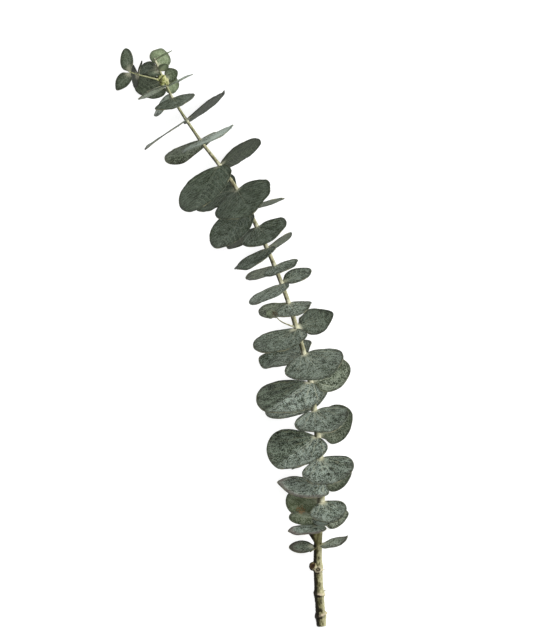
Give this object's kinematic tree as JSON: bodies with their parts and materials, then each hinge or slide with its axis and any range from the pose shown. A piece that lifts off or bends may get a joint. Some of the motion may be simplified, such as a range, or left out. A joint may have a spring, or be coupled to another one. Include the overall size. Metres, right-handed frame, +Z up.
{
  "type": "eucalyptus branch",
  "caption": "Cut eucalyptus branch lying down: a bending woody stem with opposite pairs of round, stalkless blue-green leaves that grow small towards the tip.",
  "frame": {"origin": "on the table, under the middle of the branch's outer box", "axes": "+Y along the branch from the cut end to the tip, +X across it, +Z up from the table it lies on, which is towards the camera in the picture"},
  "size_m": [0.179, 0.4346, 0.0769],
  "materials": {
    "stem": "matt bark, olive to cream, smooth and waxy towards the tip",
    "leaf": "waxy blue-green blade with a pale bloom, satin"
  },
  "bodies": {
    "root": {"leaf_01_left": "leaf", "leaf_01_right": "leaf", "leaf_02_back": "leaf", "leaf_02_front": "leaf", "leaf_03_back": "leaf", "leaf_03_front": "leaf", "leaf_04_back": "leaf", "leaf_04_front": "leaf", "leaf_05_back": "leaf", "leaf_05_front": "leaf", "leaf_06_back": "leaf", "leaf_06_front": "leaf", "leaf_07_back": "leaf", "leaf_07_front": "leaf", "leaf_08_back": "leaf", "leaf_08_front": "leaf", "leaf_09_back": "leaf", "leaf_09_front": "leaf", "leaf_10_back": "leaf", "leaf_10_front": "leaf", "leaf_11_back": "leaf", "leaf_11_front": "leaf", "leaf_12_back": "leaf", "leaf_12_front": "leaf", "leaf_13_back": "leaf", "leaf_13_front": "leaf", "leaf_14_back": "leaf", "leaf_14_front": "leaf", "leaf_15_back": "leaf", "leaf_15_front": "leaf", "leaf_16_back": "leaf", "leaf_16_front": "leaf", "leaf_17_back": "leaf", "leaf_17_front": "leaf", "leaf_18_back": "leaf", "leaf_18_front": "leaf", "leaf_19_back": "leaf", "leaf_19_front": "leaf", "leaf_20_back": "leaf", "leaf_20_front": "leaf", "leaf_21_back": "leaf", "leaf_21_front": "leaf", "leaf_22_back": "leaf", "leaf_22_front": "leaf", "leaf_23_back": "leaf", "leaf_23_front": "leaf", "leaf_24_back": "leaf", "leaf_24_left": "leaf", "leaf_24_right": "leaf", "leaf_25_left": "leaf", "leaf_25_right": "leaf", "leaf_26_left": "leaf", "leaf_26_right": "leaf", "leaf_27_right": "leaf", "shoot_leaf_01_tip": "leaf", "stem": "stem", "twig_leaf_01_back": "leaf", "twig_leaf_01_up": "leaf", "twig_leaf_02_down": "leaf", "twig_leaf_02_up": "leaf"}
  },
  "joints": []
}
